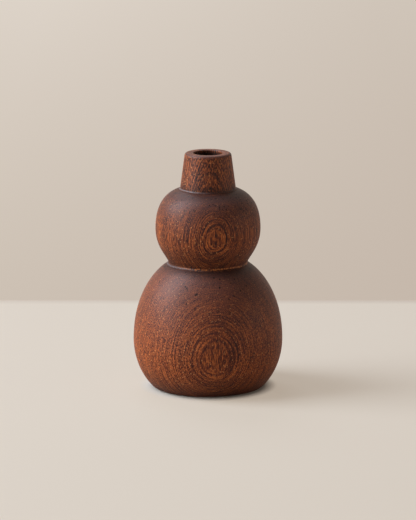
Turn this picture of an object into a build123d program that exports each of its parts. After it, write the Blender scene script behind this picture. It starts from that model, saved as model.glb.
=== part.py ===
"""Double gourd vase: three turned hardwood sections with a glass water tube inside.

Millimetres. +Z is up, and the origin is the middle of the underside that the vase stands on.
Every piece is round, so each is drawn as a half section of radius and height and spun about Z.
"""

import os
from math import cos, radians, sin

from build123d import *

# Heights of the three turned sections, from one seat to the next
lower_bulb_height = 62.75
upper_bulb_height = 38.35
neck_height = 18.5

# Lower bulb, outside
foot_radius = 27.6
foot_edge_radius = 0.8
lower_belly_radius = 37.7
lower_belly_height = 24.3

# Waist crease: a small cove above a thin lip, where the upper bulb sits on the lower bulb
waist_radius = 19.95
waist_cove_reach = 0.9
waist_cove_height = 1.2
waist_lip_edge = 0.2

# Upper bulb, outside
upper_belly_radius = 26.5
upper_belly_height = 18.45

# Neck crease: the same cove and lip, where the collar sits on the upper bulb
neck_cove_reach = 0.75
neck_cove_height = 1.0
neck_lip_edge = 0.2

# Neck collar: how much wider it is at its foot than at the rim, and the wall around the mouth
neck_flare = 2.3
rim_wall = 4.35
rim_edge_radius = 1.4
mouth_edge_radius = 0.5

# Water tube of glass, and the room around it
tube_radius = 7.0
tube_length = 100.0
tube_wall = 0.9
tube_clearance = 0.3

# Hollow of the lower bulb
lower_wall = 6.0
lower_floor_thickness = 9.0
lower_roof_thickness = 4.0

# Hollow of the upper bulb
upper_wall = 4.4
upper_floor_thickness = 5.0
upper_roof_thickness = 4.0
upper_roof_clearance = 1.7

# Glued joint at the waist: a spigot under the upper bulb in a socket of the lower bulb
waist_seat_width = 3.1
waist_spigot_length = 7.5
waist_spigot_wall = 3.1

# Glued joint at the neck: a spigot under the collar in a socket of the upper bulb
neck_spigot_length = 7.0
neck_spigot_wall = 3.2

# Room for glue around a spigot or plug and under its end, and the lead on a spigot
glue_clearance = 0.1
glue_well = 0.5
spigot_chamfer = 0.6

# Plug that closes the lower bulb from below, with the well that the tube stands in
foot_ring_width = 6.6
plug_flange_width = 3.6
plug_flange_thickness = 3.0
well_wall = 3.6
well_height = 10.5
well_depth = 8.3
well_edge_radius = 0.8

# Cork disc in the well, and felt disc in the recess of the foot
cushion_thickness = 2.0
cushion_clearance = 0.2
pad_thickness = 1.4
pad_proud = 0.4
pad_clearance = 0.3
pad_rim_width = 3.2

# Slopes at which the curves of the bulbs leave the foot and reach the creases
foot_slope_deg = 28.0
lower_shoulder_slope_deg = 30.2
upper_base_slope_deg = 65.0
upper_shoulder_slope_deg = 17.8

# How far the curves hold those slopes, and hold upright at the belly, as shares of their rise
foot_share = 0.093
lower_base_share = 0.588
lower_top_share = 0.6
lower_shoulder_share = 0.171
upper_foot_share = 0.231
upper_base_share = 0.522
upper_top_share = 0.585
upper_shoulder_share = 0.379

# A hollow's curve runs almost as a quarter ellipse, a little fuller
hollow_share = 0.6

# Levels, from the underside up
foot_z = pad_proud
recess_z = pad_thickness
plug_ledge_z = recess_z + plug_flange_thickness
lower_floor_z = foot_z + lower_floor_thickness
well_top_z = lower_floor_z + well_height
well_floor_z = well_top_z - well_depth
cushion_top_z = well_floor_z + cushion_thickness
tube_bottom_z = cushion_top_z + tube_clearance
tube_top_z = tube_bottom_z + tube_length
lower_belly_z = foot_z + lower_belly_height
waist_z = foot_z + lower_bulb_height
waist_spigot_z = waist_z - waist_spigot_length
waist_socket_z = waist_spigot_z - glue_well
lower_roof_z = waist_socket_z - lower_roof_thickness
upper_floor_z = waist_z + upper_floor_thickness
upper_belly_z = waist_z + upper_belly_height
neck_z = waist_z + upper_bulb_height
neck_spigot_z = neck_z - neck_spigot_length
neck_socket_z = neck_spigot_z - glue_well
upper_roof_z = neck_socket_z - upper_roof_thickness
rim_z = neck_z + neck_height

# Radii, from the fits outwards
bore_radius = tube_radius + tube_clearance
well_radius = bore_radius + well_wall
cushion_radius = bore_radius - cushion_clearance
rim_radius = bore_radius + rim_wall
neck_foot_radius = rim_radius + neck_flare
neck_lip_radius = neck_foot_radius + neck_cove_reach
neck_spigot_radius = bore_radius + neck_spigot_wall
neck_socket_radius = neck_spigot_radius + glue_clearance
upper_roof_radius = bore_radius + upper_roof_clearance
waist_lip_radius = waist_radius + waist_cove_reach
waist_spigot_radius = waist_radius - waist_seat_width
waist_socket_radius = waist_spigot_radius + glue_clearance
waist_bore_radius = waist_spigot_radius - waist_spigot_wall
pad_recess_radius = foot_radius - pad_rim_width
pad_radius = pad_recess_radius - pad_clearance
plug_radius = foot_radius - foot_ring_width
plug_rebate_radius = plug_radius + glue_clearance
plug_body_radius = plug_radius - plug_flange_width
plug_hole_radius = plug_body_radius + glue_clearance

# Middle of a quarter round, as a share of its radius
quarter_share = cos(radians(45))


def turned(*outline):
    """Spin an outline of edges, drawn as radius and height, about the vertical axis."""
    return revolve(Plane.XZ * make_face(outline), Axis.Z)


def ring_edge(piece, radius, height):
    """The round edge of a turned piece that lies nearest to a radius and height."""
    rings = piece.edges().filter_by(GeomType.CIRCLE)
    return min(rings, key=lambda ring: abs(ring.radius - radius) + abs(ring.arc_center.Z - height))


def sloped(point, slope_deg, length):
    """A point at a slope and length outwards from another."""
    slope = radians(slope_deg)
    return (point[0] + length * cos(slope), point[1] + length * sin(slope))


def curve_to_belly(end, slope_deg, end_share, belly, belly_share):
    """Bulb curve from a foot or crease, where it leaves at a slope, to the upright belly."""
    rise = belly[1] - end[1]
    end_control = sloped(end, slope_deg, abs(rise) * end_share)
    belly_control = (belly[0], belly[1] - rise * belly_share)
    return Bezier(end, end_control, belly_control, belly)


def hollow_curve(end, belly):
    """Curve of a hollow from the level edge of its floor or roof to its upright belly."""
    reach = belly[0] - end[0]
    rise = belly[1] - end[1]
    end_control = (end[0] + reach * hollow_share, end[1])
    belly_control = (belly[0], belly[1] - rise * hollow_share)
    return Bezier(end, end_control, belly_control, belly)


def cove(lip, reach, height):
    """Hollow quarter round from the edge of a lip in and up to the wall."""
    middle = (lip[0] - reach * quarter_share, lip[1] + height - height * quarter_share)
    return ThreePointArc(lip, middle, (lip[0] - reach, lip[1] + height))


def make_lower_bulb():
    """Wide lower bulb: a hollow shell, socketed above, rebated below for the plug and the felt."""
    foot = (foot_radius, foot_z)
    belly = (lower_belly_radius, lower_belly_z)
    shoulder = (waist_lip_radius, waist_z)
    roof = (waist_bore_radius, lower_roof_z)
    hollow_belly = (lower_belly_radius - lower_wall, lower_belly_z)
    floor = (plug_hole_radius, lower_floor_z)
    bulb = turned(
        curve_to_belly(foot, foot_slope_deg, foot_share, belly, lower_base_share),
        curve_to_belly(shoulder, -lower_shoulder_slope_deg, lower_shoulder_share, belly, lower_top_share),
        Polyline(
            shoulder,
            (waist_socket_radius, waist_z),
            (waist_socket_radius, waist_socket_z),
            (waist_bore_radius, waist_socket_z),
            roof,
        ),
        hollow_curve(roof, hollow_belly),
        hollow_curve(floor, hollow_belly),
        Polyline(
            floor,
            (plug_hole_radius, plug_ledge_z),
            (plug_rebate_radius, plug_ledge_z),
            (plug_rebate_radius, recess_z),
            (pad_recess_radius, recess_z),
            (pad_recess_radius, foot_z),
            foot,
        ),
    )
    return fillet(ring_edge(bulb, foot_radius, foot_z), foot_edge_radius)


def make_base_plug():
    """Stepped plug, let in from below, with the well for the tube standing in the hollow."""
    plug = turned(
        Polyline(
            (0, recess_z),
            (plug_radius, recess_z),
            (plug_radius, plug_ledge_z),
            (plug_body_radius, plug_ledge_z),
            (plug_body_radius, lower_floor_z),
            (well_radius, lower_floor_z),
            (well_radius, well_top_z),
            (bore_radius, well_top_z),
            (bore_radius, well_floor_z),
            (0, well_floor_z),
            (0, recess_z),
        )
    )
    return fillet(ring_edge(plug, bore_radius, well_top_z), well_edge_radius)


def make_upper_bulb():
    """Smaller upper bulb: a hollow shell with a spigot below and a socket for the collar above."""
    lip = (waist_lip_radius, waist_z + waist_lip_edge)
    base = (waist_radius, waist_z + waist_lip_edge + waist_cove_height)
    belly = (upper_belly_radius, upper_belly_z)
    shoulder = (neck_lip_radius, neck_z)
    roof = (upper_roof_radius, upper_roof_z)
    hollow_belly = (upper_belly_radius - upper_wall, upper_belly_z)
    floor = (waist_bore_radius, upper_floor_z)
    bulb = turned(
        Polyline(
            floor,
            (waist_bore_radius, waist_spigot_z),
            (waist_spigot_radius, waist_spigot_z),
            (waist_spigot_radius, waist_z),
            (waist_lip_radius, waist_z),
            lip,
        ),
        cove(lip, waist_cove_reach, waist_cove_height),
        curve_to_belly(base, upper_base_slope_deg, upper_foot_share, belly, upper_base_share),
        curve_to_belly(shoulder, -upper_shoulder_slope_deg, upper_shoulder_share, belly, upper_top_share),
        Polyline(
            shoulder,
            (neck_socket_radius, neck_z),
            (neck_socket_radius, neck_socket_z),
            (upper_roof_radius, neck_socket_z),
            roof,
        ),
        hollow_curve(roof, hollow_belly),
        hollow_curve(floor, hollow_belly),
    )
    return chamfer(ring_edge(bulb, waist_spigot_radius, waist_spigot_z), spigot_chamfer)


def make_neck_collar():
    """Tapering neck, bored for the tube, with a thick rim and a spigot below."""
    lip = (neck_lip_radius, neck_z + neck_lip_edge)
    collar = turned(
        Polyline(
            (rim_radius, rim_z),
            (bore_radius, rim_z),
            (bore_radius, neck_spigot_z),
            (neck_spigot_radius, neck_spigot_z),
            (neck_spigot_radius, neck_z),
            (neck_lip_radius, neck_z),
            lip,
        ),
        cove(lip, neck_cove_reach, neck_cove_height),
        Line((neck_foot_radius, neck_z + neck_lip_edge + neck_cove_height), (rim_radius, rim_z)),
    )
    collar = chamfer(ring_edge(collar, neck_spigot_radius, neck_spigot_z), spigot_chamfer)
    collar = fillet(ring_edge(collar, rim_radius, rim_z), rim_edge_radius)
    return fillet(ring_edge(collar, bore_radius, rim_z), mouth_edge_radius)


def round_bottom(radius, bottom_z):
    """Quarter circle from the lowest point of a round-bottomed wall out to its straight side."""
    side_z = bottom_z + radius
    middle = (radius * quarter_share, side_z - radius * quarter_share)
    return ThreePointArc((0, bottom_z), middle, (radius, side_z))


def make_water_tube():
    """Round-bottomed glass tube whose open end is melted round."""
    inner_radius = tube_radius - tube_wall
    lip_radius = tube_wall / 2
    lip_z = tube_top_z - lip_radius
    side_z = tube_bottom_z + tube_radius
    return turned(
        round_bottom(tube_radius, tube_bottom_z),
        Line((tube_radius, side_z), (tube_radius, lip_z)),
        ThreePointArc((tube_radius, lip_z), (tube_radius - lip_radius, tube_top_z), (inner_radius, lip_z)),
        Line((inner_radius, lip_z), (inner_radius, side_z)),
        round_bottom(inner_radius, tube_bottom_z + tube_wall),
        Line((0, tube_bottom_z + tube_wall), (0, tube_bottom_z)),
    )


def make_disc(radius, bottom_z, top_z):
    """Flat round disc between two levels."""
    return turned(Polyline((0, bottom_z), (radius, bottom_z), (radius, top_z), (0, top_z), (0, bottom_z)))


pieces = {
    "lower_bulb": make_lower_bulb(),
    "upper_bulb": make_upper_bulb(),
    "neck_collar": make_neck_collar(),
    "water_tube": make_water_tube(),
    "base_plug": make_base_plug(),
    "tube_cushion": make_disc(cushion_radius, well_floor_z, cushion_top_z),
    "base_pad": make_disc(pad_radius, 0, pad_thickness),
}

os.makedirs("parts", exist_ok=True)
for name, piece in pieces.items():
    export_step(piece, f"parts/{name}.step")
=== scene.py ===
"""Double gourd vase of turned hardwood with a glass water tube: finishes, stage, light and camera."""

import math

import bmesh
import bpy
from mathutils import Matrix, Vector


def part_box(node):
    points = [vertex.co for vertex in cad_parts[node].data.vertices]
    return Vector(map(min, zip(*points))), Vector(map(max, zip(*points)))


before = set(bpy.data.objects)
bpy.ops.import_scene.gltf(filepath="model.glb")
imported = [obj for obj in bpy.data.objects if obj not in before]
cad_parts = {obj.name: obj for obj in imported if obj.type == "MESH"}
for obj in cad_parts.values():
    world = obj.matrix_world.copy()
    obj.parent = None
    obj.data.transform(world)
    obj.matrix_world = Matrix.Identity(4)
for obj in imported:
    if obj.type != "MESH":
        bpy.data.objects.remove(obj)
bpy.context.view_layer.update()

# Units: the frame, the stage and the camera are in metres, and every finish is written in millimetres
MM = 0.001
PER_M = 1000.0
TURN = 2 * math.pi

# The photograph's height and focal length in pixels, and the view that it was taken from
PHOTO_HEIGHT = 520
FOCAL_PIXELS = 4000
SENSOR_MM = 36.0
CAMERA_ELEVATION = 11.9
CAMERA_DISTANCE = 2020 * MM
CAMERA_REACH = 20.0
AIM_HEIGHT = 64.87 * MM

# Floor: half its width, its tone under the lamps, and a flat tone that is seen but lights nothing
FLOOR_HALF_WIDTH = 6.0
FLOOR_TONE = "#D3D2CA"
FLOOR_FLAT_TONE = "#DECEBC"
FLOOR_ROUGHNESS = 0.9
FLOOR_GLOSS = 0.1

# Share of the flat tone, which lightens the shadow to the photograph's: little of it under the foot
FLOOR_FLAT_SHARE = 0.6
FOOT_FLAT_SHARE = 0.05
FOOT_RADIUS = 28.5 * MM
FOOT_EDGE_RADIUS = 35 * MM

# Backdrop: its tones, where it starts behind the vase, how soft that edge is, and how far the tones run
# The backdrop's tones paint light on it: lighter far back and on the left
BACK_TONES = {
    "near left": "#CDC1B4",
    "near right": "#C5B7AA",
    "far left": "#DDD3C8",
    "far right": "#D0C5B9",
}
BACK_FROM = 0.195
BACK_BLUR = 0.006
BACK_TO = 1.4
BACK_HALF_WIDTH = 0.14

# Away from the vase, on every side, the floor takes the backdrop's tone
AROUND_FROM = 0.3
AROUND_TO = 0.7

# Strength of the room's own light, and the lamps: azimuth and elevation in degrees, distance, width and
# height in metres, power in watts, and tone
ROOM_LIGHT = 0.02
LIGHTS = {
    "window": (-91, 31, 2.0, 1.4, 1.0, 36.5, "#F8FAFF"),
    "low window": (-66, 6, 2.0, 1.1, 0.9, 18, "#F8FAFF"),
    "sky": (-96, 54, 2.0, 0.9, 0.9, 23.5, "#EEF2FF"),
    "back sky": (-165, 50, 2.0, 0.9, 0.9, 9, "#EEF2FF"),
    "right fill": (80, 6, 2.0, 1.5, 0.7, 6.0, "#FFE8D6"),
}

# Places on the vase, from the frame: each crease as the height and the radius of the lip above its seat,
# the rim, and the radius within which a surface belongs to the bore
LIP_MM = 0.2
WAIST_LIP_RADIUS_MM = 20.85
BORE_SLACK_MM = 0.45
WAIST_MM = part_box("lower_bulb")[1].z * PER_M + LIP_MM
NECK_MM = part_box("upper_bulb")[1].z * PER_M + LIP_MM
NECK_LIP_RADIUS_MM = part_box("neck_collar")[1].x * PER_M
CREASES_MM = [(WAIST_MM, WAIST_LIP_RADIUS_MM), (NECK_MM, NECK_LIP_RADIUS_MM)]
RIM_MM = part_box("neck_collar")[1].z * PER_M
BORE_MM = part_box("water_tube")[1].x * PER_M + BORE_SLACK_MM

# The blanks that the sections were turned from, in millimetres. The heart of each log lies in front of
# the vase and leans as it rises, so the growth layers cut each bulb in rings a little low and to the
# right, and the collar in steep arches. A layer, a fleck and a fibre are given as thick, wide and long,
# and a pore as its spacing, length and radius. Where the layers come to lie flat to the surface, between
# the two cosines of "flat", their share goes from "layer share" to "flat share". Pores stand in groups,
# and the groups are larger where "group from" is lower.
LOWER_BLANK = {
    "heart": (15.8, -220.0, 0.0),
    "lean": (0.24, -0.05),
    "layer": (0.24, 9.0, 18.0),
    "layer share": 0.42,
    "flat": (0.962, 0.99),
    "flat share": 0.14,
    "fleck": (0.2, 0.22, 1.0),
    "fibre": (3.0, 0.24, 2.4),
    "pore": (2.2, 9.0, 0.42),
    "group from": 0.42,
}
UPPER_BLANK = LOWER_BLANK | {
    "heart": (2.9, -50.0, 0.0),
    "lean": (0.065, -0.05),
    "layer": (0.22, 9.0, 18.0),
    "layer share": 0.6,
    "flat": (0.978, 0.997),
    "fleck": (0.16, 0.2, 3.0),
    "pore": (1.6, 3.0, 0.36),
    "group from": 0.3,
}
COLLAR_BLANK = LOWER_BLANK | {
    "heart": (22.0, -220.0, 0.0),
    "lean": (0.0, -0.06),
    "layer": (0.4, 16.0, 20.0),
    "layer share": 0.5,
    "flat share": 0.4,
    "fleck": (0.28, 0.36, 2.2),
    "fibre": (0.28, 0.36, 2.2),
}

# Tones of the wood from dark fibre to soft tissue, each with its place in the figure, and its roughness
LOWER_TONES = [(0.4, "#2F1009"), (0.465, "#522211"), (0.535, "#7F3B1C"), (0.6, "#C26830")]
UPPER_TONES = [(0.39, "#260D08"), (0.46, "#431B0F"), (0.535, "#6C3118"), (0.605, "#B6602B")]
COLLAR_TONES = [(0.36, "#170906"), (0.44, "#47200F"), (0.53, "#7D3D21"), (0.66, "#BE6832")]
BARE_TONES = [(0.34, "#5A3524"), (0.46, "#754630"), (0.55, "#8C583B"), (0.7, "#A87550")]
BULB_ROUGHNESS = 0.52
COLLAR_ROUGHNESS = 0.5
BARE_ROUGHNESS = 0.65

# Noise: the middle of its range, the detail of soft patterns and of fine ones, and the wood's fineness
NOISE_MIDDLE = 0.5
SOFT_DETAIL = 1.0
FINE_DETAIL = 2.0
STRAND_ROUGHNESS = 0.55

# Slow waves of the grain: how far they swing from side to side, and their size across and up the grain
WAVE_SWING_MM = 0.7
WAVE_SIZE_MM = (14.0, 14.0, 40.0)

# Faint yearly rings among the layers: their spacing, by how many rings they wander, the size of that
# wander, and their share
YEAR_MM = 0.65
YEAR_WANDER = 1.2
WANDER_SIZE_MM = (1.625, 26.0, 40.0)
YEAR_SHARE = 0.06

# A name that ends in UP, here and below, is the upward part of the surface's normal: 1 on a level top,
# 0 on an upright side and -1 below

# Share of the layers that is left on the shoulders
SHOULDER_FROM_UP = 0.1
SHOULDER_TO_UP = 0.6
SHOULDER_SHARE = 0.48

# Share of fibres among the flecks, at the sides and where the layers lie flat, and how much sooner that
# begins than it does for the layers
SIDE_FIBRE_SHARE = 0.08
FLAT_FIBRE_SHARE = 0.8
FIBRE_LEAD = 0.015

# Pale specks in the cut cells: their soft edge is in shares of the radius
SPECK_TONE = "#D9965E"
SPECK_SPACING_MM = 1.8
SPECK_RADIUS_MM = 0.26
SPECK_EDGE_SHARES = (0.6, 1.4)
SPECK_SHARE = 0.7

# End grain and painted shade: darker as the surface turns up, its grey tone a painted sheen, and less
# on a level top and on the left, which is painted light
END_GRAIN_AND_PAINTED_SHEEN_TONE = "#443D41"
END_GRAIN_AND_SHADE_FROM_UP = -0.05
END_GRAIN_AND_SHADE_TO_UP = 0.8
END_GRAIN_AND_SHADE_SHARE = 0.62
LIT_TOP_FROM_UP = 0.88
LIT_TOP_TO_UP = 0.98
LIT_TOP_SHARE = 0.3
LIT_LEFT_FROM = -0.7
LIT_LEFT_TO = -0.2
LIT_LEFT_SHARE = 0.8

# Under the bulbs: painted shade, over end grain that is darker there too
BELOW_SHADE_AND_END_GRAIN_TONE = "#28120A"
BELOW_FROM_UP = -0.7
BELOW_TO_UP = -0.3
BELOW_SHARE = 0.72

# Pores: their edge in shares of the radius, the size and soft edge of their groups, and the share that
# is left at the sides
PORE_TONE = "#170A07"
PORE_EDGE_SHARES = (0.8, 1.2)
GROUP_MM = 9.0
GROUP_BLUR = 0.1
PORE_FROM_UP = 0.25
PORE_TO_UP = 0.5
SIDE_PORE_SHARE = 0.2

# Painted shade beside the creases, and how far it reaches
CREASE_SHADE_TONE = "#190E0B"
CREASE_SHADE_MM = 4.0
CREASE_SHADE_SHARE = 0.55

# Painted highlight just above each lip: half its height, the share of that which is full, where it fades
# towards the right in shares of the lip's radius, and the breaks that split it up
LIP_HIGHLIGHT_TONE = "#9C9294"
LIP_HIGHLIGHT_ABOVE_MM = 0.25
LIP_HIGHLIGHT_HALF_MM = 0.34
LIP_HIGHLIGHT_FULL_SHARE = 0.6
LIP_HIGHLIGHT_FADE_SHARES = (-0.55, 0.1)
LIP_HIGHLIGHT_SHARE = 0.36
HIGHLIGHT_BREAK_MM = 0.9
HIGHLIGHT_BREAK_FROM = 0.38
HIGHLIGHT_BREAK_TO = 0.56
BROKEN_HIGHLIGHT_SHARE = 0.35

# Painted light on streaks at the foot of the upper bulb, above the waist's lip: the size of its strands,
# half its height, the share of that which is full, and where it begins on the left and is full at the front
WAIST_LIGHT_TONE = "#C9783E"
WAIST_LIGHT_STREAK_MM = (0.7, 0.7, 5.0)
WAIST_LIGHT_FROM = 0.42
WAIST_LIGHT_TO = 0.58
WAIST_LIGHT_ABOVE_MM = 0.6
WAIST_LIGHT_HALF_MM = 0.5
WAIST_LIGHT_FULL_SHARE = 0.5
WAIST_LIGHT_LEFT_MM = -16.0
WAIST_LIGHT_FRONT_MM = -5.0
WAIST_LIGHT_SHARE = 0.75

# Painted shade in the bore: how far below the rim it starts to darken and is dark, and its soft edge
BORE_SHADE_TONE = "#150906"
BORE_SHADE_FROM_MM = 0.1
BORE_SHADE_TO_MM = 1.8
BORE_SHADE_BLUR_MM = 0.3
BORE_SHADE_SHARE = 0.95

# Gloss of the wood, which the hand rubs smoother on the shoulders than below, and its sanded relief
GLOSS_LEVEL = 0.22
RUBBED_FROM_UP = -0.4
RUBBED_TO_UP = 0.5
ROUGHER_BELOW = 0.15
SMOOTHER_ABOVE = 0.06
RELIEF_MM = 0.06
RELIEF_STRENGTH = 0.5

# Glass: its streaks across and along the draw
GLASS_STREAK_MM = (1.5, 1.5, 60.0)
GLASS_TONES = [(0.35, "#EAF3EE"), (0.65, "#F7FBF9")]
GLASS_IOR = 1.5
GLASS_ROUGHNESS = 0.04

# Cork: its granules, and the dark joints between them, whose edge is in shares of a granule
CORK_GRANULE_MM = 1.4
CORK_TONES = [(0.0, "#8A5E3A"), (0.5, "#A97C50"), (1.0, "#C39A6B")]
CORK_JOINT_TONE = "#5A3A22"
CORK_JOINT_EDGE_SHARES = (0.02, 0.1)
CORK_JOINT_SHARE = 0.7
CORK_RELIEF_MM = 0.1
CORK_RELIEF_STRENGTH = 0.6
CORK_ROUGHNESS = 0.9
CORK_GLOSS = 0.2

# Felt: its fibres, and the size and swing of the swirls that they lie in
FELT_FIBRE_MM = 0.3
FELT_SWIRL_MM = 1.2
FELT_SWING_MM = 2.5
FELT_TONES = [(0.3, "#231A16"), (0.5, "#33271F"), (0.7, "#47382E")]
FELT_RELIEF_MM = 0.12
FELT_RELIEF_STRENGTH = 0.7
FELT_ROUGHNESS = 1.0
FELT_GLOSS = 0.1
FELT_SHEEN = 0.2


def linear(code):
    """A hex colour as it looks on screen, turned into linear red, green, blue and alpha."""
    parts = [int(code[i:i + 2], 16) / 255 for i in (1, 3, 5)]
    return [p / 12.92 if p <= 0.04045 else ((p + 0.055) / 1.055) ** 2.4 for p in parts] + [1.0]


def add(tree, kind, inputs=None, out=0, stops=(), **settings):
    """Add a shader node with its settings, set or link its inputs, and give the output that is asked for.

    Inputs go by name or by number. A Map Range takes a value, its range from and to, and what these two
    become. A Mix takes a share, and the two values in 2 and 3 or the two colours in 6 and 7.
    """
    node = tree.nodes.new("ShaderNode" + kind)
    for name, value in settings.items():
        setattr(node, name, value)
    for socket, value in (inputs or {}).items():
        if isinstance(value, bpy.types.NodeSocket):
            tree.links.new(value, node.inputs[socket])
        else:
            node.inputs[socket].default_value = value
    for number, (position, code) in enumerate(stops):
        stripes = node.color_ramp.elements
        stripe = stripes[number] if number < len(stripes) else stripes.new(1.0)
        stripe.position = position
        stripe.color = linear(code)
    return node.outputs[out] if len(node.outputs) else None


def new_material(name):
    """An empty node material and its tree."""
    material = bpy.data.materials.new(name)
    material.use_nodes = True
    material.node_tree.nodes.clear()
    return material, material.node_tree


def place_in_mm(tree):
    """Where the surface is on the vase, in millimetres."""
    place = add(tree, "TexCoord", out="Object")
    return add(tree, "VectorMath", {0: place, "Scale": PER_M}, operation="SCALE")


def per_size(sizes):
    """Scale of a pattern whose marks have these sizes."""
    return [1 / size for size in sizes]


def cut_from_log(tree, blank):
    """What the finish reads: the place on the vase and in its log, and how the surface faces."""
    place = place_in_mm(tree)
    normal = add(tree, "NewGeometry", out="Normal")
    upward = add(tree, "SeparateXYZ", {0: normal}, out="Z")

    # Slow waves keep layers and flecks from running straight
    wave = add(tree, "Mapping", {"Vector": place, "Scale": per_size(WAVE_SIZE_MM)})
    wave = add(tree, "TexNoise", {"Vector": wave, "Scale": 1.0, "Detail": SOFT_DETAIL}, out="Color")
    wave = add(tree, "VectorMath", {0: wave, 1: [NOISE_MIDDLE] * 3}, operation="SUBTRACT")
    bent = add(tree, "VectorMath", {0: wave, 1: [WAVE_SWING_MM] * 3, 2: place}, operation="MULTIPLY_ADD")

    # Depth is the distance from the leaning heart of the log
    lean_right, lean_back = blank["lean"]
    aside = add(tree, "VectorMath", {0: bent, 1: blank["heart"]}, operation="SUBTRACT")
    across = add(tree, "SeparateXYZ", {0: aside}, out="X")
    away = add(tree, "SeparateXYZ", {0: aside}, out="Y")
    height = add(tree, "SeparateXYZ", {0: aside}, out="Z")
    beside = add(tree, "Math", {0: height, 1: -lean_right, 2: across}, operation="MULTIPLY_ADD")
    behind = add(tree, "Math", {0: height, 1: -lean_back, 2: away}, operation="MULTIPLY_ADD")
    level = add(tree, "CombineXYZ", {0: beside, 1: behind})
    depth = add(tree, "VectorMath", {0: level}, out="Value", operation="LENGTH")
    grain = add(tree, "CombineXYZ", {0: depth, 1: across, 2: height})

    # Where the surface faces the heart, or faces away from it, the layers lie flat to it
    slope = (-lean_right, -lean_back, 0)
    rise = add(tree, "VectorMath", {0: level, 1: slope}, out="Value", operation="DOT_PRODUCT")
    outward = add(tree, "CombineXYZ", {0: beside, 1: behind, 2: rise})
    outward = add(tree, "VectorMath", {0: outward}, operation="NORMALIZE")
    facing = add(tree, "VectorMath", {0: outward, 1: normal}, out="Value", operation="DOT_PRODUCT")
    facing = add(tree, "Math", {0: facing}, operation="ABSOLUTE")
    return {
        "place": place, "bent": bent, "height": height, "depth": depth, "grain": grain,
        "normal": normal, "upward": upward, "facing": facing,
    }


def growth_layers(tree, wood, blank):
    """Bands of soft tissue, thin and uneven in depth, long across the grain and up it.

    They show as rings where they lie flat, as long streaks at the sides, and less on the shoulders.
    """
    layers = add(tree, "Mapping", {"Vector": wood["grain"], "Scale": per_size(blank["layer"])})
    layers = add(tree, "TexNoise", {"Vector": layers, "Scale": 1.0, "Detail": SOFT_DETAIL})
    layers = add(tree, "Math", {0: layers, 1: NOISE_MIDDLE}, operation="SUBTRACT")
    wander = add(tree, "Mapping", {"Vector": wood["grain"], "Scale": per_size(WANDER_SIZE_MM)})
    wander = add(tree, "TexNoise", {"Vector": wander, "Scale": 1.0, "Detail": SOFT_DETAIL})
    years = add(tree, "Math", {0: wood["depth"], 1: TURN / YEAR_MM}, operation="MULTIPLY")
    years = add(tree, "Math", {0: wander, 1: TURN * YEAR_WANDER, 2: years}, operation="MULTIPLY_ADD")
    years = add(tree, "Math", {0: years}, operation="SINE")
    layers = add(tree, "Math", {0: years, 1: YEAR_SHARE, 2: layers}, operation="MULTIPLY_ADD")
    flat_from, flat_to = blank["flat"]
    share = add(tree, "MapRange", {
        0: wood["facing"], 1: flat_from, 2: flat_to, 3: blank["layer share"], 4: blank["flat share"],
    })
    shoulder = add(tree, "MapRange", {
        0: wood["upward"], 1: SHOULDER_FROM_UP, 2: SHOULDER_TO_UP, 3: 1.0, 4: SHOULDER_SHARE,
    })
    share = add(tree, "Math", {0: share, 1: shoulder}, operation="MULTIPLY")
    return add(tree, "Math", {0: layers, 1: share}, operation="MULTIPLY")


def flecks_and_fibres(tree, wood, blank):
    """Flecks of soft tissue everywhere, and mostly fibres where the layers lie flat."""
    strands = {}
    for strand in ("fleck", "fibre"):
        pattern = add(tree, "Mapping", {"Vector": wood["grain"], "Scale": per_size(blank[strand])})
        strands[strand] = add(tree, "TexNoise", {
            "Vector": pattern, "Scale": 1.0, "Detail": FINE_DETAIL, "Roughness": STRAND_ROUGHNESS,
        })
    flat_from, flat_to = blank["flat"]
    share = add(tree, "MapRange", {
        0: wood["facing"], 1: flat_from - FIBRE_LEAD, 2: flat_to, 3: SIDE_FIBRE_SHARE, 4: FLAT_FIBRE_SHARE,
    })
    return add(tree, "Mix", {0: share, 2: strands["fleck"], 3: strands["fibre"]})


def pale_specks(tree, wood, tone):
    """Pale specks in the cut cells."""
    specks = {"Vector": wood["bent"], "Scale": 1 / SPECK_SPACING_MM}
    distance = add(tree, "TexVoronoi", specks, out="Distance")
    inner, outer = [share * SPECK_RADIUS_MM / SPECK_SPACING_MM for share in SPECK_EDGE_SHARES]
    share = add(tree, "MapRange", {0: distance, 1: inner, 2: outer, 3: SPECK_SHARE, 4: 0.0})
    return add(tree, "Mix", {0: share, 6: tone, 7: linear(SPECK_TONE)}, out=2, data_type="RGBA")


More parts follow.
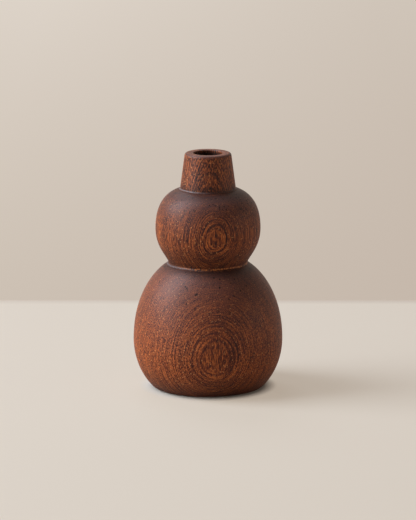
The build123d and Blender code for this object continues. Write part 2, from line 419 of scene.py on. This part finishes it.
def end_grain_and_painted_shade(tree, wood, tone):
    """Dull end grain, painted shade and a painted grey sheen where the surface turns up, and painted
    shade with darker end grain where it turns down.
    """
    upward = wood["upward"]
    # Painted shade over the end grain as the surface turns up
    above = add(tree, "MapRange", {0: upward, 1: END_GRAIN_AND_SHADE_FROM_UP, 2: END_GRAIN_AND_SHADE_TO_UP, 3: 0.0, 4: END_GRAIN_AND_SHADE_SHARE})
    # Painted light: a level top is darkened less
    top = add(tree, "MapRange", {0: upward, 1: LIT_TOP_FROM_UP, 2: LIT_TOP_TO_UP, 3: END_GRAIN_AND_SHADE_SHARE, 4: LIT_TOP_SHARE})
    above = add(tree, "Math", {0: above, 1: top}, operation="MINIMUM")
    # Painted light: surfaces that face left, towards the lamps, are darkened less
    left = add(tree, "SeparateXYZ", {0: wood["normal"]}, out="X")
    left = add(tree, "MapRange", {0: left, 1: LIT_LEFT_FROM, 2: LIT_LEFT_TO, 3: LIT_LEFT_SHARE, 4: 1.0})
    above = add(tree, "Math", {0: above, 1: left}, operation="MULTIPLY")
    # The grey end tone paints a sheen over the end grain
    tone = add(tree, "Mix", {0: above, 6: tone, 7: linear(END_GRAIN_AND_PAINTED_SHEEN_TONE)}, out=2, data_type="RGBA")
    # Painted shade under the bulbs and at the foot, over darker end grain
    below = add(tree, "MapRange", {0: upward, 1: BELOW_FROM_UP, 2: BELOW_TO_UP, 3: BELOW_SHARE, 4: 0.0})
    return add(tree, "Mix", {0: below, 6: tone, 7: linear(BELOW_SHADE_AND_END_GRAIN_TONE)}, out=2, data_type="RGBA")


def open_pores(tree, wood, blank):
    """Open pores in loose groups: dots on the shoulders, and faint short lines along the sides."""
    spacing, length, radius = blank["pore"]
    pores = add(tree, "Mapping", {"Vector": wood["grain"], "Scale": per_size((spacing, spacing, length))})
    pores = add(tree, "TexVoronoi", {"Vector": pores, "Scale": 1.0}, out="Distance")
    inner, outer = [share * radius / spacing for share in PORE_EDGE_SHARES]
    pores = add(tree, "MapRange", {0: pores, 1: inner, 2: outer, 3: 1.0, 4: 0.0})
    group_from = blank["group from"]
    groups = add(tree, "TexNoise", {"Vector": wood["place"], "Scale": 1 / GROUP_MM, "Detail": SOFT_DETAIL})
    groups = add(tree, "MapRange", {0: groups, 1: group_from, 2: group_from + GROUP_BLUR})
    pores = add(tree, "Math", {0: pores, 1: groups}, operation="MULTIPLY")
    cut = add(tree, "MapRange", {
        0: wood["upward"], 1: PORE_FROM_UP, 2: PORE_TO_UP, 3: SIDE_PORE_SHARE, 4: 1.0,
    })
    return add(tree, "Math", {0: pores, 1: cut}, operation="MULTIPLY")


def painted_crease_shade_and_highlights(tree, wood, tone):
    """Painted shade beside the creases, and a painted highlight on the left of their lips."""
    side = add(tree, "SeparateXYZ", {0: wood["place"]}, out="X")
    # Noise that breaks up the painted highlights on the lips
    highlight_breaks = add(tree, "TexNoise", {"Vector": wood["place"], "Scale": 1 / HIGHLIGHT_BREAK_MM, "Detail": SOFT_DETAIL})
    highlight_breaks = add(tree, "MapRange", {0: highlight_breaks, 1: HIGHLIGHT_BREAK_FROM, 2: HIGHLIGHT_BREAK_TO, 3: BROKEN_HIGHLIGHT_SHARE, 4: 1.0})
    lip_highlight_full = LIP_HIGHLIGHT_FULL_SHARE * LIP_HIGHLIGHT_HALF_MM
    for crease, lip_radius in CREASES_MM:
        off = add(tree, "Math", {0: wood["height"], 1: crease}, operation="SUBTRACT")
        off = add(tree, "Math", {0: off}, operation="ABSOLUTE")
        # Painted shade beside the crease
        crease_shade = add(tree, "MapRange", {0: off, 1: LIP_HIGHLIGHT_HALF_MM, 2: CREASE_SHADE_MM, 3: CREASE_SHADE_SHARE, 4: 0.0})
        tone = add(tree, "Mix", {0: crease_shade, 6: tone, 7: linear(CREASE_SHADE_TONE)}, out=2, data_type="RGBA")
        # Painted highlight just above the lip, on the left where the lamps are
        off = add(tree, "Math", {0: wood["height"], 1: crease + LIP_HIGHLIGHT_ABOVE_MM}, operation="SUBTRACT")
        off = add(tree, "Math", {0: off}, operation="ABSOLUTE")
        lip_highlight = add(tree, "MapRange", {0: off, 1: lip_highlight_full, 2: LIP_HIGHLIGHT_HALF_MM, 3: 1.0, 4: 0.0})
        fade_from, fade_to = [share * lip_radius for share in LIP_HIGHLIGHT_FADE_SHARES]
        left = add(tree, "MapRange", {0: side, 1: fade_from, 2: fade_to, 3: LIP_HIGHLIGHT_SHARE, 4: 0.0})
        lip_highlight = add(tree, "Math", {0: lip_highlight, 1: left}, operation="MULTIPLY")
        lip_highlight = add(tree, "Math", {0: lip_highlight, 1: highlight_breaks}, operation="MULTIPLY")
        tone = add(tree, "Mix", {0: lip_highlight, 6: tone, 7: linear(LIP_HIGHLIGHT_TONE)}, out=2, data_type="RGBA")
    return tone


def painted_waist_light(tree, wood, tone):
    """Painted light on streaks of grain along the front of the waist, at the foot of the upper bulb."""
    lit_streaks = add(tree, "Mapping", {"Vector": wood["place"], "Scale": per_size(WAIST_LIGHT_STREAK_MM)})
    lit_streaks = add(tree, "TexNoise", {"Vector": lit_streaks, "Scale": 1.0, "Detail": SOFT_DETAIL})
    lit_streaks = add(tree, "MapRange", {0: lit_streaks, 1: WAIST_LIGHT_FROM, 2: WAIST_LIGHT_TO})
    off = add(tree, "Math", {0: wood["height"], 1: WAIST_MM + WAIST_LIGHT_ABOVE_MM}, operation="SUBTRACT")
    off = add(tree, "Math", {0: off}, operation="ABSOLUTE")
    band = add(tree, "MapRange", {
        0: off, 1: WAIST_LIGHT_FULL_SHARE * WAIST_LIGHT_HALF_MM, 2: WAIST_LIGHT_HALF_MM, 3: WAIST_LIGHT_SHARE, 4: 0.0,
    })
    front = add(tree, "SeparateXYZ", {0: wood["place"]}, out="X")
    front = add(tree, "MapRange", {0: front, 1: WAIST_LIGHT_LEFT_MM, 2: WAIST_LIGHT_FRONT_MM})
    lit_streaks = add(tree, "Math", {0: lit_streaks, 1: band}, operation="MULTIPLY")
    lit_streaks = add(tree, "Math", {0: lit_streaks, 1: front}, operation="MULTIPLY")
    return add(tree, "Mix", {0: lit_streaks, 6: tone, 7: linear(WAIST_LIGHT_TONE)}, out=2, data_type="RGBA")


def painted_bore_shade(tree, wood, tone):
    """Below the lip the bore is painted dark with shade."""
    radius = add(tree, "VectorMath", {0: wood["place"], 1: (1, 1, 0)}, operation="MULTIPLY")
    radius = add(tree, "VectorMath", {0: radius}, out="Value", operation="LENGTH")
    bore_shade = add(tree, "MapRange", {0: radius, 1: BORE_MM, 2: BORE_MM + BORE_SHADE_BLUR_MM, 3: BORE_SHADE_SHARE, 4: 0.0})
    deep = add(tree, "MapRange", {
        0: wood["height"], 1: RIM_MM - BORE_SHADE_TO_MM, 2: RIM_MM - BORE_SHADE_FROM_MM, 3: 1.0, 4: 0.0,
    })
    bore_shade = add(tree, "Math", {0: bore_shade, 1: deep}, operation="MULTIPLY")
    return add(tree, "Mix", {0: bore_shade, 6: tone, 7: linear(BORE_SHADE_TONE)}, out=2, data_type="RGBA")


def hardwood(name, tones, roughness, blank):
    """Dark open-grained hardwood, turned and sanded, its pores left open.

    The eye sees thin orange rings where the growth layers lie flat to the surface, short orange flecks of
    soft tissue in dark brown fibre elsewhere, a few open pores, and on the shoulders the darker, speckled
    end grain, with painted shade and a painted grey sheen. Painted shade also lies under the bulbs, beside
    the creases and in the bore, and painted light on the left of the creases' lips and along the waist.
    """
    material, tree = new_material(name)
    wood = cut_from_log(tree, blank)
    layers = growth_layers(tree, wood, blank)
    flecks = flecks_and_fibres(tree, wood, blank)
    pores = open_pores(tree, wood, blank)
    figure = add(tree, "Math", {0: layers, 1: flecks}, operation="ADD")
    tone = add(tree, "ValToRGB", {0: figure}, stops=tones)
    tone = pale_specks(tree, wood, tone)
    tone = end_grain_and_painted_shade(tree, wood, tone)
    tone = add(tree, "Mix", {0: pores, 6: tone, 7: linear(PORE_TONE)}, out=2, data_type="RGBA")
    tone = painted_crease_shade_and_highlights(tree, wood, tone)
    tone = painted_waist_light(tree, wood, tone)
    tone = painted_bore_shade(tree, wood, tone)
    rubbed = add(tree, "MapRange", {
        0: wood["upward"], 1: RUBBED_FROM_UP, 2: RUBBED_TO_UP,
        3: roughness + ROUGHER_BELOW, 4: roughness - SMOOTHER_ABOVE,
    })
    relief = add(tree, "Math", {0: flecks, 1: pores}, operation="SUBTRACT")
    bump = add(tree, "Bump", {"Height": relief, "Strength": RELIEF_STRENGTH, "Distance": RELIEF_MM * MM})
    shader = add(tree, "BsdfPrincipled", {
        "Base Color": tone, "Roughness": rubbed, "Normal": bump, "Specular IOR Level": GLOSS_LEVEL,
    })
    add(tree, "OutputMaterial", {"Surface": shader})
    return material


def drawn_glass(name):
    """Clear drawn glass: almost no colour, faint green streaks along the draw and a clean gloss."""
    material, tree = new_material(name)
    streaks = add(tree, "Mapping", {"Vector": place_in_mm(tree), "Scale": per_size(GLASS_STREAK_MM)})
    streaks = add(tree, "TexNoise", {"Vector": streaks, "Scale": 1.0, "Detail": SOFT_DETAIL})
    tone = add(tree, "ValToRGB", {0: streaks}, stops=GLASS_TONES)
    shader = add(tree, "BsdfPrincipled", {
        "Base Color": tone, "Roughness": GLASS_ROUGHNESS, "IOR": GLASS_IOR, "Transmission Weight": 1.0,
    })
    add(tree, "OutputMaterial", {"Surface": shader})
    return material


def pressed_cork(name):
    """Pressed cork: warm tan granules, each its own shade, with dark joints and a matt skin."""
    material, tree = new_material(name)
    packing = {"Vector": place_in_mm(tree), "Scale": 1 / CORK_GRANULE_MM}
    granules = add(tree, "TexVoronoi", packing, out="Color")
    shade = add(tree, "SeparateColor", {0: granules}, out="Red")
    tone = add(tree, "ValToRGB", {0: shade}, stops=CORK_TONES)
    joints = add(tree, "TexVoronoi", packing, out="Distance", feature="DISTANCE_TO_EDGE")
    inner, outer = CORK_JOINT_EDGE_SHARES
    joints = add(tree, "MapRange", {0: joints, 1: inner, 2: outer, 3: CORK_JOINT_SHARE, 4: 0.0})
    tone = add(tree, "Mix", {0: joints, 6: tone, 7: linear(CORK_JOINT_TONE)}, out=2, data_type="RGBA")
    bump = add(tree, "Bump", {
        "Height": joints, "Strength": CORK_RELIEF_STRENGTH, "Distance": -CORK_RELIEF_MM * MM,
    })
    shader = add(tree, "BsdfPrincipled", {
        "Base Color": tone, "Roughness": CORK_ROUGHNESS, "Normal": bump, "Specular IOR Level": CORK_GLOSS,
    })
    add(tree, "OutputMaterial", {"Surface": shader})
    return material


def wool_felt(name):
    """Pressed wool felt: dark brown fibres lying every way, a soft cloudy tone and no gloss."""
    material, tree = new_material(name)
    place = place_in_mm(tree)
    swirls = {"Vector": place, "Scale": 1 / FELT_SWIRL_MM, "Detail": FINE_DETAIL}
    swing = add(tree, "TexNoise", swirls, out="Color")
    fibres = add(tree, "VectorMath", {0: swing, 1: [FELT_SWING_MM] * 3, 2: place}, operation="MULTIPLY_ADD")
    fibres = add(tree, "TexNoise", {"Vector": fibres, "Scale": 1 / FELT_FIBRE_MM, "Detail": FINE_DETAIL})
    tone = add(tree, "ValToRGB", {0: fibres}, stops=FELT_TONES)
    bump = add(tree, "Bump", {
        "Height": fibres, "Strength": FELT_RELIEF_STRENGTH, "Distance": FELT_RELIEF_MM * MM,
    })
    shader = add(tree, "BsdfPrincipled", {
        "Base Color": tone, "Roughness": FELT_ROUGHNESS, "Normal": bump,
        "Specular IOR Level": FELT_GLOSS, "Sheen Weight": FELT_SHEEN,
    })
    add(tree, "OutputMaterial", {"Surface": shader})
    return material


def dress_pieces():
    """Give every piece of the vase its finish."""
    long_flecks = "oiled turned hardwood, long flecks"
    steep_grain = "oiled turned hardwood, steep grain"
    finishes = {
        "lower_bulb": hardwood("oiled turned hardwood", LOWER_TONES, BULB_ROUGHNESS, LOWER_BLANK),
        "upper_bulb": hardwood(long_flecks, UPPER_TONES, BULB_ROUGHNESS, UPPER_BLANK),
        "neck_collar": hardwood(steep_grain, COLLAR_TONES, COLLAR_ROUGHNESS, COLLAR_BLANK),
        "base_plug": hardwood("bare turned hardwood", BARE_TONES, BARE_ROUGHNESS, LOWER_BLANK),
        "water_tube": drawn_glass("clear drawn glass"),
        "tube_cushion": pressed_cork("pressed cork"),
        "base_pad": wool_felt("pressed wool felt"),
    }
    for node, finish in finishes.items():
        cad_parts[node].data.materials[0] = finish


def seen_ray(tree):
    """One for a ray that is seen: straight from the camera, mirrored in a gloss or through glass."""
    straight = add(tree, "LightPath", out="Is Camera Ray")
    mirrored = add(tree, "LightPath", out="Is Glossy Ray")
    through = add(tree, "LightPath", out="Is Transmission Ray")
    either = add(tree, "Math", {0: straight, 1: mirrored}, operation="MAXIMUM")
    return add(tree, "Math", {0: either, 1: through}, operation="MAXIMUM")


def plain_floor(name):
    """Plain pale floor that takes the vase's shadow and runs into a plain backdrop tone all around."""
    material, tree = new_material(name)
    place = add(tree, "TexCoord", out="Object")
    right = add(tree, "SeparateXYZ", {0: place}, out="X")
    away = add(tree, "SeparateXYZ", {0: place}, out="Y")
    radius = add(tree, "VectorMath", {0: place}, out="Value", operation="LENGTH")
    back = add(tree, "MapRange", {0: away, 1: BACK_FROM - BACK_BLUR, 2: BACK_FROM + BACK_BLUR})
    around = add(tree, "MapRange", {0: radius, 1: AROUND_FROM, 2: AROUND_TO})
    back = add(tree, "Math", {0: back, 1: around}, operation="MAXIMUM")

    # The backdrop's tone runs from near to far and from left to right: painted light, lighter far back and
    # on the left
    far = add(tree, "MapRange", {0: away, 1: BACK_FROM, 2: BACK_TO})
    sides = {}
    for side in ("left", "right"):
        near_tone = linear(BACK_TONES["near " + side])
        far_tone = linear(BACK_TONES["far " + side])
        sides[side] = add(tree, "Mix", {0: far, 6: near_tone, 7: far_tone}, out=2, data_type="RGBA")
    aside = add(tree, "MapRange", {0: right, 1: -BACK_HALF_WIDTH, 2: BACK_HALF_WIDTH})
    tone = add(tree, "Mix", {0: aside, 6: sides["left"], 7: sides["right"]}, out=2, data_type="RGBA")

    # What is seen of the floor is part lit and part flat, and the backdrop is all flat
    lit = add(tree, "Mix", {0: back, 6: linear(FLOOR_TONE), 7: tone}, out=2, data_type="RGBA")
    lit = add(tree, "BsdfPrincipled", {
        "Base Color": lit, "Roughness": FLOOR_ROUGHNESS, "Specular IOR Level": FLOOR_GLOSS,
    })
    flat = add(tree, "Mix", {0: back, 6: linear(FLOOR_FLAT_TONE), 7: tone}, out=2, data_type="RGBA")
    flat = add(tree, "Emission", {"Color": flat})
    share = add(tree, "MapRange", {
        0: radius, 1: FOOT_RADIUS, 2: FOOT_EDGE_RADIUS, 3: FOOT_FLAT_SHARE, 4: FLOOR_FLAT_SHARE,
    })
    share = add(tree, "Math", {0: share, 1: back}, operation="MAXIMUM")
    share = add(tree, "Math", {0: seen_ray(tree), 1: share}, operation="MULTIPLY")
    both = add(tree, "MixShader", {0: share, 1: lit, 2: flat})
    add(tree, "OutputMaterial", {"Surface": both})
    return material


def make_stage():
    """The floor that the vase stands on."""
    mesh = bpy.data.meshes.new("floor")
    shape = bmesh.new()
    bmesh.ops.create_grid(shape, x_segments=1, y_segments=1, size=FLOOR_HALF_WIDTH)
    shape.to_mesh(mesh)
    shape.free()
    mesh.materials.append(plain_floor("plain floor"))
    floor = bpy.data.objects.new("floor", mesh)
    bpy.context.scene.collection.objects.link(floor)


def direction(azimuth, elevation):
    """Unit vector from the vase, by degrees: azimuth 0 is towards the camera and 90 to the right."""
    turn = math.radians(azimuth)
    rise = math.radians(elevation)
    return Vector((math.sin(turn) * math.cos(rise), -math.cos(turn) * math.cos(rise), math.sin(rise)))


def soft_light(name, azimuth, elevation, distance, width, height, watts, tone):
    """A rectangular soft light that faces the middle of the vase."""
    toward = direction(azimuth, elevation)
    lamp = bpy.data.lights.new(name, "AREA")
    lamp.shape = "RECTANGLE"
    lamp.size = width
    lamp.size_y = height
    lamp.energy = watts
    lamp.color = linear(tone)[:3]
    light = bpy.data.objects.new(name, lamp)
    bpy.context.scene.collection.objects.link(light)
    light.location = Vector((0, 0, AIM_HEIGHT)) + toward * distance
    light.rotation_euler = toward.to_track_quat("Z", "Y").to_euler()
    light.visible_camera = False


def make_light():
    """Soft daylight from the left, cooler patches higher up, and weak warm fill from the right."""
    world = bpy.data.worlds.new("dim room")
    bpy.context.scene.world = world
    world.use_nodes = True
    tree = world.node_tree
    tree.nodes.clear()
    strength = add(tree, "MapRange", {0: seen_ray(tree), 3: ROOM_LIGHT, 4: 1.0})
    shader = add(tree, "Background", {"Color": linear(BACK_TONES["near right"]), "Strength": strength})
    add(tree, "OutputWorld", {"Surface": shader})
    for name, values in LIGHTS.items():
        soft_light(name, *values)


def make_camera():
    """The photograph's view: a long lens, looking a little down."""
    camera = bpy.data.objects.new("camera", bpy.data.cameras.new("camera"))
    bpy.context.scene.collection.objects.link(camera)
    camera.data.sensor_width = SENSOR_MM
    camera.data.lens = FOCAL_PIXELS / PHOTO_HEIGHT * SENSOR_MM
    camera.data.clip_end = CAMERA_REACH
    camera.location = Vector((0, 0, AIM_HEIGHT)) + direction(0, CAMERA_ELEVATION) * CAMERA_DISTANCE
    camera.rotation_euler = (math.radians(90 - CAMERA_ELEVATION), 0, 0)
    bpy.context.scene.camera = camera


dress_pieces()
make_stage()
make_light()
make_camera()
bpy.context.scene.view_settings.view_transform = "Standard"
